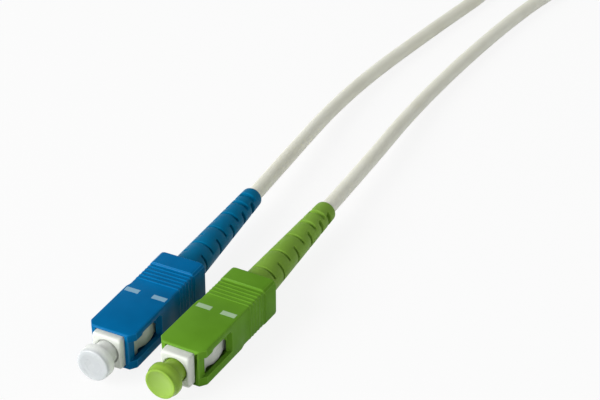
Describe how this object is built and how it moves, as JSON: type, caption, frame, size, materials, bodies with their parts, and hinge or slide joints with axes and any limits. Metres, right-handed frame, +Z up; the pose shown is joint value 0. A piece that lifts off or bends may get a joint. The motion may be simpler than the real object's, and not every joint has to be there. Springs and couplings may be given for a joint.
{
  "type": "fibre optic patch cord",
  "caption": "Fibre optic patch cord with a blue and a green square push-pull plug, dust caps, slotted tapered boots and a slim round white cable tied in a coil.",
  "frame": {"origin": "middle of the plugs' footprint, on the surface that they lie on", "axes": "+Y along the plugs from the dust caps to the cable, +Z up, blue plug on the -X side"},
  "size_m": [0.039, 0.2349, 0.0102],
  "materials": {
    "blue_plastic": "satin moulded",
    "green_plastic": "satin moulded",
    "blue_boot": "soft moulded elastomer",
    "green_boot": "soft moulded elastomer",
    "white_frame": "semi-gloss moulded",
    "clear_cap": "frosted translucent",
    "lime_cap": "glossy translucent",
    "ceramic": "polished zirconia ceramic",
    "nickel_brass": "nickel plated",
    "spring_steel": "drawn wire",
    "crimp_metal": "crimped",
    "buffer_coat": "smooth coat",
    "white_jacket": "satin extruded",
    "strap_fabric": "woven hook and loop"
  },
  "bodies": {
    "cord": {"blue_plug_frame": "white_frame", "blue_back_body": "nickel_brass", "blue_crimp_sleeve": "crimp_metal", "blue_boot": "blue_boot", "blue_spring": "spring_steel", "cable_lead_blue": "white_jacket", "green_plug_frame": "white_frame", "green_back_body": "nickel_brass", "green_crimp_sleeve": "crimp_metal", "green_boot": "green_boot", "green_spring": "spring_steel", "cable_lead_green": "white_jacket", "cable_coil": "white_jacket", "coil_strap": "strap_fabric"},
    "blue_grip": {"blue_grip_housing": "blue_plastic"},
    "blue_ferrule_set": {"blue_ferrule": "ceramic", "blue_ferrule_flange": "nickel_brass", "blue_fibre_buffer": "buffer_coat"},
    "blue_cap": {"blue_dust_cap": "clear_cap"},
    "green_grip": {"green_grip_housing": "green_plastic"},
    "green_ferrule_set": {"green_ferrule": "ceramic", "green_ferrule_flange": "nickel_brass", "green_fibre_buffer": "buffer_coat"},
    "green_cap": {"green_dust_cap": "lime_cap"}
  },
  "joints": [
    {"name": "blue_grip_slide", "type": "slide", "parent": "cord", "child": "blue_grip", "axis": [-0.014, 0.9999, 0], "range_m": [-0.0006, 0.002]},
    {"name": "blue_ferrule_float", "type": "slide", "parent": "cord", "child": "blue_ferrule_set", "axis": [-0.014, 0.9999, 0], "range_m": [0, 0.0012], "stiffness_N_per_m": 500, "deforming": ["blue_spring"]},
    {"name": "blue_cap_pull", "type": "slide", "parent": "blue_ferrule_set", "child": "blue_cap", "axis": [0.014, -0.9999, 0], "range_m": [0, 0.008]},
    {"name": "green_grip_slide", "type": "slide", "parent": "cord", "child": "green_grip", "axis": [0.014, 0.9999, 0], "range_m": [-0.0012, 0.0014]},
    {"name": "green_ferrule_float", "type": "slide", "parent": "cord", "child": "green_ferrule_set", "axis": [0.014, 0.9999, 0], "range_m": [0, 0.0012], "stiffness_N_per_m": 500, "deforming": ["green_spring"]},
    {"name": "green_cap_pull", "type": "slide", "parent": "green_ferrule_set", "child": "green_cap", "axis": [-0.014, -0.9999, 0], "range_m": [0, 0.008]}
  ]
}
